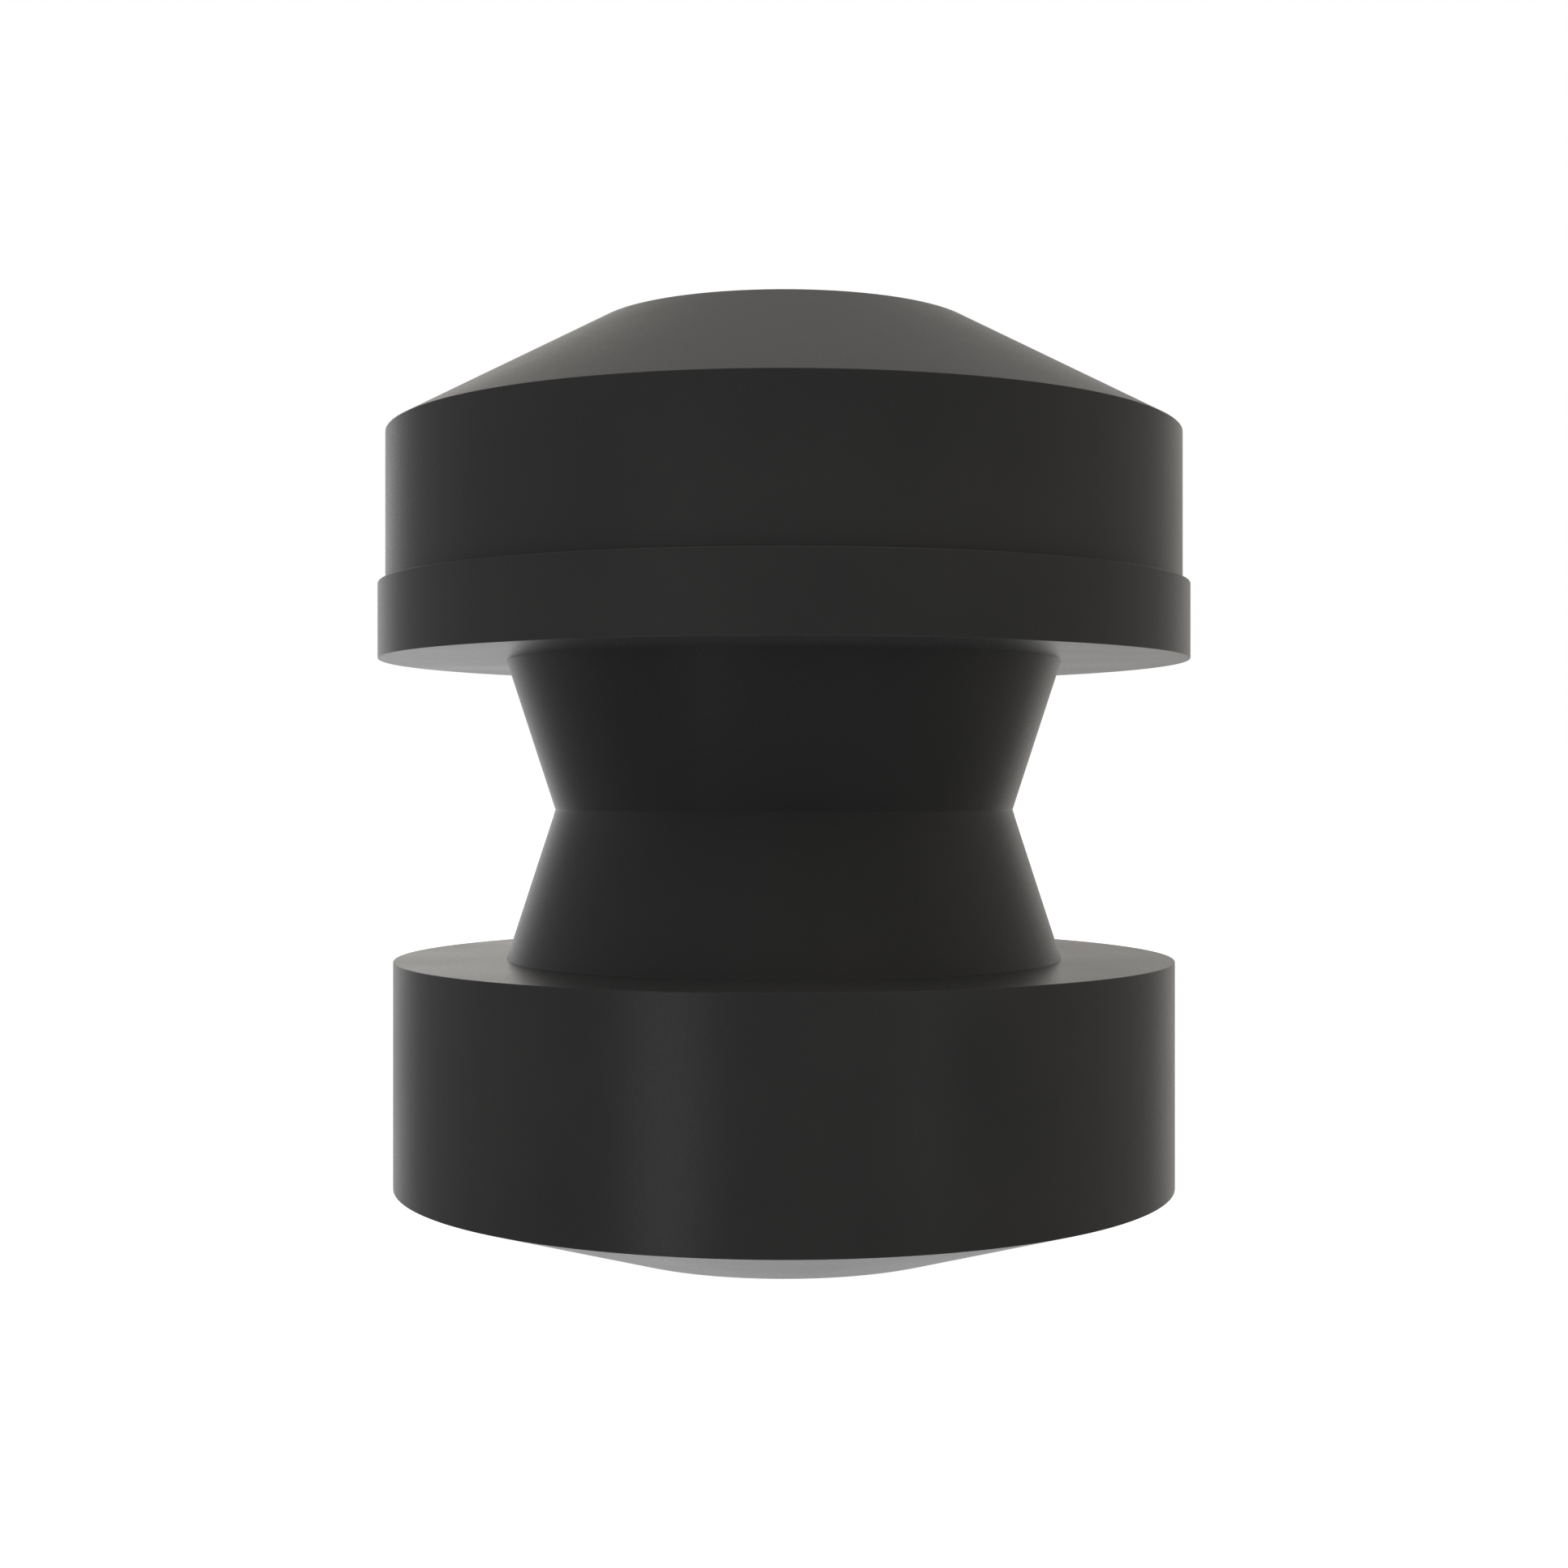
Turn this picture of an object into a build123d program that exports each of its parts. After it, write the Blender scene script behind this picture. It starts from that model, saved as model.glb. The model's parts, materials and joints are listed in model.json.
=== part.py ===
from build123d import *

import os
from math import cos, radians, tan

# A low round mooring bollard post for a boat's deck: a dished foot, a base drum, a neck with a V-shaped
# waist and a wide head, stacked on a core tube and drawn together by one through bolt. The head's cap
# screws off to reach the bolt's nut. Millimetres, +Z up; the origin is the centre of the foot's flat
# underside.

# ---- outside shape: heights of the stacked bands, from the deck up ----
FOOT_H = 8.2
BASE_H = 30.0
NECK_H = 40.0
RING_H = 10.0
DRUM_H = 20.0
CROWN_H = 15.1

# ---- outside shape: radii ----
FLAT_R = 25.75  # the flats at the very bottom and the very top
BASE_R = 52.5
NECK_R = 37.5
WAIST_R = 31.0
RING_R = 54.5
CAP_R = 53.5
EDGE = 0.12  # edge break on free outside corners
INNER_BREAK = 0.4  # chamfer of pins, washers and the plug
FOOT_CORNER_R = 1.5  # fillet where the foot's floor meets its boss and its spigot

# ---- levels that follow from the bands ----
BASE_Z = FOOT_H
NECK_Z = BASE_Z + BASE_H
WAIST_Z = NECK_Z + NECK_H / 2
RING_Z = NECK_Z + NECK_H
SEAT_Z = RING_Z + RING_H
CROWN_Z = SEAT_Z + DRUM_H
TOP_Z = CROWN_Z + CROWN_H

# ---- core tube ----
CORE_R = 21.0
CORE_BORE_R = 16.0
CORE_SEAT_Z = 16.2
CORE_TOP_Z = 83.7
CORE_END_GAP = 0.5
CORE_CHAMFER = 0.6
SOCKET_FIT = 0.1  # radial clearance of the two sockets that hold the tube's ends
SLIDE_FIT = 0.2  # radial clearance of what is threaded over it

# ---- through bolt (M12), its washers and its nut ----
BOLT_R = 6.0
BOLT_HOLE_R = 6.6
BOLT_LENGTH = 100.0
BOLT_END_CHAMFER = 1.0
HEX_FLATS = 19.0
HEAD_H = 7.5
NUT_H = 10.0
NUT_FIT = 0.1
WASHER_R = 12.0
WASHER_BORE_R = 6.5
WASHER_H = 2.5
SPRING_R = 10.5
SPRING_BORE_R = 6.2
SPRING_H = 3.0
SPRING_SLIT = 1.5

# ---- foot plate ----
POCKET_R = 12.5  # takes the bolt's head
POCKET_H = 11.5
FOOT_FLOOR_Z = BASE_Z + 1.0
FOOT_BOSS_R = 28.0
FOOT_BOSS_Z = 20.2
SPIGOT_R = 47.2
SPIGOT_BORE_R = 42.0
SPIGOT_H = 5.0

# ---- where the first bolt insert or dowel of a circle stands, from +X ----
FIRST_ANGLE = 45.0

# ---- deck fixing: four tapped stainless inserts, a gasket and a plug in the flat underside ----
DECK_BOLTS = 4
DECK_CIRCLE_R = 18.0
DECK_BORE_R = 2.5  # tapping size of M6
INSERT_R = 4.1
INSERT_H = 12.0
INSERT_FIT = 0.05
INSERT_HOLE_H = 13.0
GASKET_IN_R = 23.0
GASKET_OUT_R = 25.0
GASKET_H = 1.8
GASKET_FIT = 0.05
PLUG_LID_H = 1.3
PLUG_SKIRT_H = 7.0
PLUG_SKIRT_T = 1.0
PLUG_RECESS = 0.1
PLUG_FIT = 0.05

# ---- ribs, of drum, flange and cap alike ----
RIB_COUNT = 6
RIB_ROOT = 0.5  # how far a rib reaches into the walls it joins

# ---- base drum ----
BASE_BORE_R = 47.5
BASE_TOP_T = 7.0
HUB_R = 28.0
HUB_GAP = 0.2  # between the drum's hub and the foot's boss
BASE_RIB_T = 4.0
BASE_RIB_H = 10.0
LEAD_IN = 0.8  # chamfer that leads the foot's spigot and O-ring into the drum

# ---- neck sleeves ----
SLEEVE_SPIGOT_R = 30.0
SLEEVE_SPIGOT_H = 2.8
RECESS_FIT = 0.2
RECESS_H = 3.0
WAIST_SPIGOT_R = 26.8
WAIST_SPIGOT_H = 2.0
WAIST_RECESS_H = 2.2
RELIEF_R = 26.0
RELIEF_NEAR = 8.0  # the lightening chamber's two ends, measured from the waist
RELIEF_FAR = 16.0

# ---- dowel pins ----
DOWELS = 2
DOWEL_FIT = 0.05
DOWEL_END_GAP = 0.2  # room left past the far end of a pin
PIN_R = 2.0
PIN_CIRCLE_R = 24.9
PIN_H = 10.0
SMALL_PIN_R = 1.5
SMALL_PIN_CIRCLE_R = 24.1
SMALL_PIN_H = 9.0

# ---- O-rings in grooves ----
ORING_FIT = 0.05
NECK_GROOVE_R = 33.6
NECK_GROOVE_W = 2.4
NECK_GROOVE_H = 1.6
WAIST_GROOVE_R = 28.7
WAIST_GROOVE_W = 1.8
WAIST_GROOVE_H = 1.3
SPIGOT_GROOVE_R = 45.6
SPIGOT_GROOVE_W = 2.4
SPIGOT_ORING_R = 0.8

# ---- head flange ----
FLANGE_HUB_R = 24.0
FLANGE_HUB_H = 4.0
COLLAR_R = 45.6
COLLAR_BORE_R = 40.0
COLLAR_H = 11.0
COLLAR_CHAMFER = 0.5
FLANGE_POCKET_IN_R = 31.0
FLANGE_POCKET_H = 5.0
FLANGE_RIB_T = 5.0

# ---- cap ----
CAP_GAP = 0.1  # the rim stops just short of the flange, on its gasket
CAP_BORE_R = 47.4
CAP_BORE_H = 12.0
CAVITY_R = 49.0
CAVITY_Z = 105.0
CROWN_T = 5.0
CROWN_INNER_R = 24.0
CAP_GASKET_IN_R = 49.0
CAP_GASKET_OUT_R = 52.0
CAP_GASKET_H = 2.0
CAP_RIB_T = 3.0
CAP_RIB_IN_R = 20.0
CAP_RIB_MID_R = 38.0
CAP_RIB_FOOT_Z = 102.5
CAP_RIB_TIP_Z = 113.0
KEY_HOLES = 2  # for a pin spanner that unscrews the cap
KEY_HOLE_R = 3.0
KEY_HOLE_H = 3.0
KEY_CIRCLE_R = 18.0

# ---- the coarse thread between collar and cap ----
PITCH = 4.0
TURNS = 1.5
THREAD_H = 1.4
THREAD_ROOT_W = 2.3
THREAD_CREST_W = 1.1
THREAD_BURIED = 0.5  # how far a ridge reaches into the wall it grows from
COLLAR_THREAD_Z = SEAT_Z + 3.0
CAP_THREAD_Z = SEAT_Z + 2.0
CAP_THREAD_ANGLE = 90.0  # lifts the cap's ridge by a quarter pitch, to the middle of the collar's groove

os.makedirs("parts", exist_ok=True)


def write(shape, name):
    """Labels a finished piece and writes it as the node of that name."""
    shape.label = name
    export_step(shape, f"parts/{name}.step")


def ring(outer_r, inner_r, low, high, mode=Mode.ADD):
    """A flat-faced ring between two levels, added to or cut from the piece being made."""
    with BuildSketch(Plane.XY.offset(low)) as outline:
        Circle(outer_r)
        Circle(inner_r, mode=Mode.SUBTRACT)
    extrude(outline.sketch, amount=high - low, mode=mode)


def disc(radius, low, high, mode=Mode.ADD):
    """A round disc between two levels, added to or cut from the piece being made."""
    with BuildSketch(Plane.XY.offset(low)) as outline:
        Circle(radius)
    extrude(outline.sketch, amount=high - low, mode=mode)


def circle_of_discs(circle_r, count, radius, low, high, mode=Mode.ADD):
    """Equal discs spaced round the axis, added to or cut from the piece being made."""
    with BuildSketch(Plane.XY.offset(low)) as outline:
        with PolarLocations(circle_r, count, start_angle=FIRST_ANGLE):
            Circle(radius)
    extrude(outline.sketch, amount=high - low, mode=mode)


def turned(*points):
    """A turned body: the half section through these (radius, height) points, spun round the axis."""
    with BuildSketch(Plane.XZ) as section:
        with BuildLine():
            Polyline(*points, close=True)
        make_face()
    revolve(section.sketch, axis=Axis.Z)


def round_edges(made, level):
    """The circular edges at one level of the piece being made, counted from the bottom, smallest first."""
    return made.edges().filter_by(GeomType.CIRCLE).group_by(Axis.Z)[level].sort_by(SortBy.RADIUS)


def face_groove(middle_r, width, low, high):
    """A round groove for a seal, in a flat face."""
    ring(middle_r + width / 2, middle_r - width / 2, low, high, mode=Mode.SUBTRACT)


def radial_webs(thickness, inner_r, outer_r, low, high):
    """Straight webs from one wall out to the next, rooted in both, between two levels."""
    with BuildSketch(Plane.XY.offset(low)) as outline:
        with PolarLocations((inner_r + outer_r) / 2, RIB_COUNT):
            Rectangle(outer_r - inner_r + 2 * RIB_ROOT, thickness)
    extrude(outline.sketch, amount=high - low)


def hexagon(low, high, chamfer_low, chamfer_high):
    """A hexagon across the bolt's flats, its corners turned off at the ends that ask for it."""
    flats_r = HEX_FLATS / 2
    half_side_angle = radians(30)
    corner_r = flats_r / cos(half_side_angle)
    turn_off = (corner_r - flats_r) * tan(half_side_angle)
    low_r, low_z = (flats_r, low + turn_off) if chamfer_low else (corner_r, low + turn_off)
    high_r, high_z = (flats_r, high - turn_off) if chamfer_high else (corner_r, high - turn_off)
    with BuildSketch(Plane.XY.offset(low)) as outline:
        RegularPolygon(flats_r, 6, major_radius=False)
    extrude(outline.sketch, amount=high - low)
    with BuildSketch(Plane.XZ) as section:
        with BuildLine():
            Polyline(
                (0, low),
                (low_r, low),
                (corner_r, low_z),
                (corner_r, high_z),
                (high_r, high),
                (0, high),
                close=True,
            )
        make_face()
    revolve(section.sketch, axis=Axis.Z, mode=Mode.INTERSECT)


def washer(low):
    """A plain washer for the through bolt, its upper rim broken."""
    with BuildPart() as made:
        ring(WASHER_R, WASHER_BORE_R, low, low + WASHER_H)
        chamfer(round_edges(made, -1)[-1], INNER_BREAK)
    return made.part


def oring(middle_r, section_r, middle_z):
    """An O-ring round the axis."""
    with BuildPart() as made:
        with BuildSketch(Plane.XZ):
            with Locations((middle_r, middle_z)):
                Circle(section_r)
        revolve(axis=Axis.Z)
    return made.part


def face_oring(middle_r, groove_h, groove_floor):
    """The O-ring of a face groove, lying on the groove's floor and just below the face."""
    section_r = groove_h / 2 - ORING_FIT
    return oring(middle_r, section_r, groove_floor + section_r)


def dowel_holes(circle_r, pin_r, low, high):
    """The holes of one dowel circle."""
    circle_of_discs(circle_r, DOWELS, pin_r + DOWEL_FIT, low, high, mode=Mode.SUBTRACT)


def dowel_pins(circle_r, pin_r, low, height):
    """The pins of one dowel circle, with chamfered ends."""
    with BuildPart() as made:
        circle_of_discs(circle_r, DOWELS, pin_r, low, low + height)
        chamfer(made.edges().filter_by(GeomType.CIRCLE), INNER_BREAK)
    return made.part


def thread_ridge(root_r, low, outward):
    """One helical ridge of the cap's thread, on the outside or the inside of a wall of this radius."""
    side = 1 if outward else -1
    flank = (THREAD_ROOT_W - THREAD_CREST_W) / 2 / THREAD_H
    buried_w = THREAD_ROOT_W / 2 + THREAD_BURIED * flank
    with BuildPart() as made:
        with BuildLine():
            path = Helix(PITCH, PITCH * TURNS, root_r, center=(0, 0, low))
        with BuildSketch(Plane(origin=path @ 0, x_dir=(1, 0, 0), z_dir=path % 0)):
            Polygon(
                (-side * THREAD_BURIED, -buried_w),
                (side * THREAD_H, -THREAD_CREST_W / 2),
                (side * THREAD_H, THREAD_CREST_W / 2),
                (-side * THREAD_BURIED, buried_w),
                align=None,
            )
        sweep(is_frenet=True)
    return made.part


# ================= foot plate and what lies in its flat underside =================
pin_base_z = (FOOT_BOSS_Z + HUB_GAP / 2) - PIN_H / 2

with BuildPart() as foot_plate:
    turned(
        (0, 0),
        (FLAT_R, 0),
        (BASE_R, BASE_Z),
        (SPIGOT_R, BASE_Z),
        (SPIGOT_R, BASE_Z + SPIGOT_H),
        (SPIGOT_BORE_R, BASE_Z + SPIGOT_H),
        (SPIGOT_BORE_R, FOOT_FLOOR_Z),
        (FOOT_BOSS_R, FOOT_FLOOR_Z),
        (FOOT_BOSS_R, FOOT_BOSS_Z),
        (0, FOOT_BOSS_Z),
    )
    fillet(round_edges(foot_plate, 0), EDGE)
    inner_corner = foot_plate.edges().filter_by(GeomType.CIRCLE).filter_by_position(
        Axis.Z, FOOT_FLOOR_Z, FOOT_FLOOR_Z
    )
    fillet(inner_corner, FOOT_CORNER_R)
    disc(CORE_R + SOCKET_FIT, CORE_SEAT_Z, FOOT_BOSS_Z, mode=Mode.SUBTRACT)
    disc(BOLT_HOLE_R, 0, CORE_SEAT_Z, mode=Mode.SUBTRACT)
    disc(POCKET_R, 0, POCKET_H, mode=Mode.SUBTRACT)
    circle_of_discs(DECK_CIRCLE_R, DECK_BOLTS, INSERT_R + INSERT_FIT, 0, INSERT_HOLE_H, mode=Mode.SUBTRACT)
    ring(GASKET_OUT_R, GASKET_IN_R, 0, GASKET_H, mode=Mode.SUBTRACT)
    spigot_middle_z = BASE_Z + SPIGOT_H / 2
    ring(
        BASE_R,
        SPIGOT_GROOVE_R,
        spigot_middle_z - SPIGOT_GROOVE_W / 2,
        spigot_middle_z + SPIGOT_GROOVE_W / 2,
        mode=Mode.SUBTRACT,
    )
    dowel_holes(PIN_CIRCLE_R, PIN_R, pin_base_z, FOOT_BOSS_Z)
write(foot_plate.part, "foot_plate")

with BuildPart() as deck_inserts:
    circle_of_discs(DECK_CIRCLE_R, DECK_BOLTS, INSERT_R, 0, INSERT_H)
    circle_of_discs(DECK_CIRCLE_R, DECK_BOLTS, DECK_BORE_R, 0, INSERT_H, mode=Mode.SUBTRACT)
write(deck_inserts.part, "deck_inserts")

with BuildPart() as deck_gasket:
    ring(GASKET_OUT_R - GASKET_FIT, GASKET_IN_R + GASKET_FIT, GASKET_FIT, GASKET_H)
write(deck_gasket.part, "deck_gasket")

with BuildPart() as pocket_plug:
    plug_r = POCKET_R - PLUG_FIT
    disc(plug_r, PLUG_RECESS, PLUG_RECESS + PLUG_LID_H)
    ring(plug_r, plug_r - PLUG_SKIRT_T, PLUG_RECESS + PLUG_LID_H, PLUG_RECESS + PLUG_SKIRT_H)
    chamfer(round_edges(pocket_plug, 0), INNER_BREAK)
write(pocket_plug.part, "pocket_plug")

spigot_oring_r = SPIGOT_GROOVE_R + SPIGOT_ORING_R + ORING_FIT
write(oring(spigot_oring_r, SPIGOT_ORING_R, spigot_middle_z), "base_oring")
write(dowel_pins(PIN_CIRCLE_R, PIN_R, pin_base_z, PIN_H), "base_dowels")

# ================= through bolt, washers, nut and core tube =================
head_top_z = POCKET_H - WASHER_H
nut_washer_z = SEAT_Z + FLANGE_HUB_H
spring_z = nut_washer_z + WASHER_H
nut_z = spring_z + SPRING_H

write(washer(head_top_z), "head_washer")
write(washer(nut_washer_z), "nut_washer")

with BuildPart() as tie_bolt:
    hexagon(head_top_z - HEAD_H, head_top_z, True, False)
    disc(BOLT_R, head_top_z, head_top_z + BOLT_LENGTH)
    chamfer(round_edges(tie_bolt, -1), BOLT_END_CHAMFER)
write(tie_bolt.part, "tie_bolt")

with BuildPart() as spring_washer:
    ring(SPRING_R, SPRING_BORE_R, spring_z, spring_z + SPRING_H)
    slit_plane = Plane(origin=(0, 0, spring_z + SPRING_H / 2), x_dir=(1, 0, 0), z_dir=(0, -1, 1))
    with BuildSketch(slit_plane):
        with Locations((SPRING_R, 0)):
            Rectangle(SPRING_R * 2, SPRING_SLIT)
    extrude(amount=SPRING_R, both=True, mode=Mode.SUBTRACT)
write(spring_washer.part, "spring_washer")

with BuildPart() as tie_nut:
    hexagon(nut_z, nut_z + NUT_H, True, True)
    disc(BOLT_R + NUT_FIT, nut_z, nut_z + NUT_H, mode=Mode.SUBTRACT)
write(tie_nut.part, "tie_nut")

with BuildPart() as core_tube:
    ring(CORE_R, CORE_BORE_R, CORE_SEAT_Z, CORE_TOP_Z)
    chamfer(core_tube.edges().filter_by(GeomType.CIRCLE), CORE_CHAMFER)
write(core_tube.part, "core_tube")

# ================= base drum =================
neck_recess_z = NECK_Z - RECESS_H
pin_neck_z = (NECK_Z - (SLEEVE_SPIGOT_H + RECESS_H) / 2) - PIN_H / 2

with BuildPart() as base_drum:
    ring(BASE_R, BASE_BORE_R, BASE_Z, NECK_Z)
    chamfer(round_edges(base_drum, 0)[0], LEAD_IN)
    fillet(round_edges(base_drum, -1)[-1], EDGE)
    disc(BASE_BORE_R, NECK_Z - BASE_TOP_T, NECK_Z)
    disc(HUB_R, FOOT_BOSS_Z + HUB_GAP, NECK_Z)
    rib_top_z = NECK_Z - BASE_TOP_T
    radial_webs(BASE_RIB_T, HUB_R, BASE_BORE_R, rib_top_z - BASE_RIB_H, rib_top_z)
    disc(CORE_R + SLIDE_FIT, BASE_Z, NECK_Z, mode=Mode.SUBTRACT)
    disc(SLEEVE_SPIGOT_R + RECESS_FIT, neck_recess_z, NECK_Z, mode=Mode.SUBTRACT)
    face_groove(NECK_GROOVE_R, NECK_GROOVE_W, NECK_Z - NECK_GROOVE_H, NECK_Z)
    dowel_holes(PIN_CIRCLE_R, PIN_R, FOOT_BOSS_Z + HUB_GAP, pin_base_z + PIN_H + DOWEL_END_GAP)
    dowel_holes(PIN_CIRCLE_R, PIN_R, pin_neck_z, neck_recess_z)
write(base_drum.part, "base_drum")

write(face_oring(NECK_GROOVE_R, NECK_GROOVE_H, NECK_Z - NECK_GROOVE_H), "lower_neck_oring")
write(dowel_pins(PIN_CIRCLE_R, PIN_R, pin_neck_z, PIN_H), "lower_neck_dowels")

# ================= neck sleeves, mirror images apart from the joint at the waist =================
pin_waist_z = (WAIST_Z + (WAIST_SPIGOT_H + WAIST_RECESS_H) / 2) - SMALL_PIN_H / 2

with BuildPart() as lower_neck_sleeve:
    turned(
        (0, NECK_Z - SLEEVE_SPIGOT_H),
        (SLEEVE_SPIGOT_R, NECK_Z - SLEEVE_SPIGOT_H),
        (SLEEVE_SPIGOT_R, NECK_Z),
        (NECK_R, NECK_Z),
        (WAIST_R, WAIST_Z),
        (WAIST_SPIGOT_R, WAIST_Z),
        (WAIST_SPIGOT_R, WAIST_Z + WAIST_SPIGOT_H),
        (0, WAIST_Z + WAIST_SPIGOT_H),
    )
    disc(CORE_R + SLIDE_FIT, RING_Z, NECK_Z - SLEEVE_SPIGOT_H, mode=Mode.SUBTRACT)
    disc(RELIEF_R, WAIST_Z - RELIEF_FAR, WAIST_Z - RELIEF_NEAR, mode=Mode.SUBTRACT)
    face_groove(WAIST_GROOVE_R, WAIST_GROOVE_W, WAIST_Z - WAIST_GROOVE_H, WAIST_Z)
    dowel_holes(PIN_CIRCLE_R, PIN_R, NECK_Z - SLEEVE_SPIGOT_H, pin_neck_z + PIN_H + DOWEL_END_GAP)
    dowel_holes(SMALL_PIN_CIRCLE_R, SMALL_PIN_R, pin_waist_z, WAIST_Z + WAIST_SPIGOT_H)
write(lower_neck_sleeve.part, "lower_neck_sleeve")

write(face_oring(WAIST_GROOVE_R, WAIST_GROOVE_H, WAIST_Z - WAIST_GROOVE_H), "waist_oring")
write(dowel_pins(SMALL_PIN_CIRCLE_R, SMALL_PIN_R, pin_waist_z, SMALL_PIN_H), "waist_dowels")

pin_ring_z = (RING_Z + (SLEEVE_SPIGOT_H + RECESS_H) / 2) - PIN_H / 2

with BuildPart() as upper_neck_sleeve:
    turned(
        (0, WAIST_Z),
        (WAIST_R, WAIST_Z),
        (NECK_R, RING_Z),
        (SLEEVE_SPIGOT_R, RING_Z),
        (SLEEVE_SPIGOT_R, RING_Z + SLEEVE_SPIGOT_H),
        (0, RING_Z + SLEEVE_SPIGOT_H),
    )
    disc(CORE_R + SLIDE_FIT, WAIST_Z, SEAT_Z, mode=Mode.SUBTRACT)
    disc(WAIST_SPIGOT_R + RECESS_FIT, WAIST_Z, WAIST_Z + WAIST_RECESS_H, mode=Mode.SUBTRACT)
    disc(RELIEF_R, WAIST_Z + RELIEF_NEAR, WAIST_Z + RELIEF_FAR, mode=Mode.SUBTRACT)
    face_groove(NECK_GROOVE_R, NECK_GROOVE_W, RING_Z - NECK_GROOVE_H, RING_Z)
    dowel_holes(SMALL_PIN_CIRCLE_R, SMALL_PIN_R, WAIST_Z, pin_waist_z + SMALL_PIN_H + DOWEL_END_GAP)
    dowel_holes(PIN_CIRCLE_R, PIN_R, pin_ring_z, RING_Z + SLEEVE_SPIGOT_H)
write(upper_neck_sleeve.part, "upper_neck_sleeve")

write(face_oring(NECK_GROOVE_R, NECK_GROOVE_H, RING_Z - NECK_GROOVE_H), "upper_neck_oring")
write(dowel_pins(PIN_CIRCLE_R, PIN_R, pin_ring_z, PIN_H), "upper_neck_dowels")

# ================= head flange with the threaded collar =================
collar_ridge = thread_ridge(COLLAR_R, COLLAR_THREAD_Z, outward=True)

with BuildPart() as head_flange:
    disc(RING_R, RING_Z, SEAT_Z)
    fillet(head_flange.edges().filter_by(GeomType.CIRCLE), EDGE)
    disc(FLANGE_HUB_R, SEAT_Z, SEAT_Z + FLANGE_HUB_H)
    ring(COLLAR_R, COLLAR_BORE_R, SEAT_Z, SEAT_Z + COLLAR_H)
    chamfer(round_edges(head_flange, -1), COLLAR_CHAMFER)
    ring(COLLAR_BORE_R, FLANGE_POCKET_IN_R, SEAT_Z - FLANGE_POCKET_H, SEAT_Z, mode=Mode.SUBTRACT)
    radial_webs(FLANGE_RIB_T, FLANGE_POCKET_IN_R, COLLAR_BORE_R, SEAT_Z - FLANGE_POCKET_H, SEAT_Z)
    disc(SLEEVE_SPIGOT_R + RECESS_FIT, RING_Z, RING_Z + RECESS_H, mode=Mode.SUBTRACT)
    disc(CORE_R + SOCKET_FIT, RING_Z, CORE_TOP_Z + CORE_END_GAP, mode=Mode.SUBTRACT)
    disc(BOLT_HOLE_R, RING_Z, SEAT_Z + FLANGE_HUB_H, mode=Mode.SUBTRACT)
    dowel_holes(PIN_CIRCLE_R, PIN_R, RING_Z + RECESS_H, pin_ring_z + PIN_H + DOWEL_END_GAP)
    add(collar_ridge)
write(head_flange.part, "head_flange")

# ================= screw cap and its gasket =================
cap_ridge = thread_ridge(CAP_BORE_R, CAP_THREAD_Z, outward=False).rotate(Axis.Z, CAP_THREAD_ANGLE)
rim_z = SEAT_Z + CAP_GAP

with BuildPart() as cap_shell:
    turned(
        (CAP_BORE_R, rim_z),
        (CAP_R, rim_z),
        (CAP_R, CROWN_Z),
        (FLAT_R, TOP_Z),
        (0, TOP_Z),
        (0, TOP_Z - CROWN_T),
        (CROWN_INNER_R, TOP_Z - CROWN_T),
        (CAVITY_R, CAVITY_Z),
        (CAVITY_R, SEAT_Z + CAP_BORE_H),
        (CAP_BORE_R, SEAT_Z + CAP_BORE_H),
    )
    outside = cap_shell.edges().filter_by(GeomType.CIRCLE)
    fillet(outside.filter_by(lambda edge: edge.center().Z >= CROWN_Z and edge.radius >= FLAT_R), EDGE)
    with BuildSketch(Plane.XZ) as rib_section:
        with BuildLine():
            Polyline(
                (CAP_RIB_IN_R, TOP_Z - CROWN_T + RIB_ROOT),
                (CAP_RIB_IN_R, CAP_RIB_TIP_Z),
                (CAP_RIB_MID_R, CAP_RIB_FOOT_Z),
                (CAVITY_R + RIB_ROOT, CAP_RIB_FOOT_Z),
                (CAVITY_R + RIB_ROOT, CAVITY_Z),
                (CROWN_INNER_R, TOP_Z - CROWN_T + RIB_ROOT),
                close=True,
            )
        make_face()
    rib = extrude(rib_section.sketch, amount=CAP_RIB_T / 2, both=True, mode=Mode.PRIVATE)
    with PolarLocations(0, RIB_COUNT):
        add(rib)
    ring(CAP_GASKET_OUT_R, CAP_GASKET_IN_R, rim_z, rim_z + CAP_GASKET_H, mode=Mode.SUBTRACT)
    with BuildSketch(Plane.XY.offset(TOP_Z)):
        with PolarLocations(KEY_CIRCLE_R, KEY_HOLES):
            Circle(KEY_HOLE_R)
    extrude(amount=-KEY_HOLE_H, mode=Mode.SUBTRACT)
    add(cap_ridge)
write(cap_shell.part, "cap_shell")

with BuildPart() as cap_gasket:
    ring(
        CAP_GASKET_OUT_R - GASKET_FIT,
        CAP_GASKET_IN_R + GASKET_FIT,
        SEAT_Z + GASKET_FIT,
        rim_z + CAP_GASKET_H - GASKET_FIT,
    )
write(cap_gasket.part, "cap_gasket")
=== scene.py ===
import json
import math

import bmesh
import bpy
from mathutils import Matrix, Vector


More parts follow.
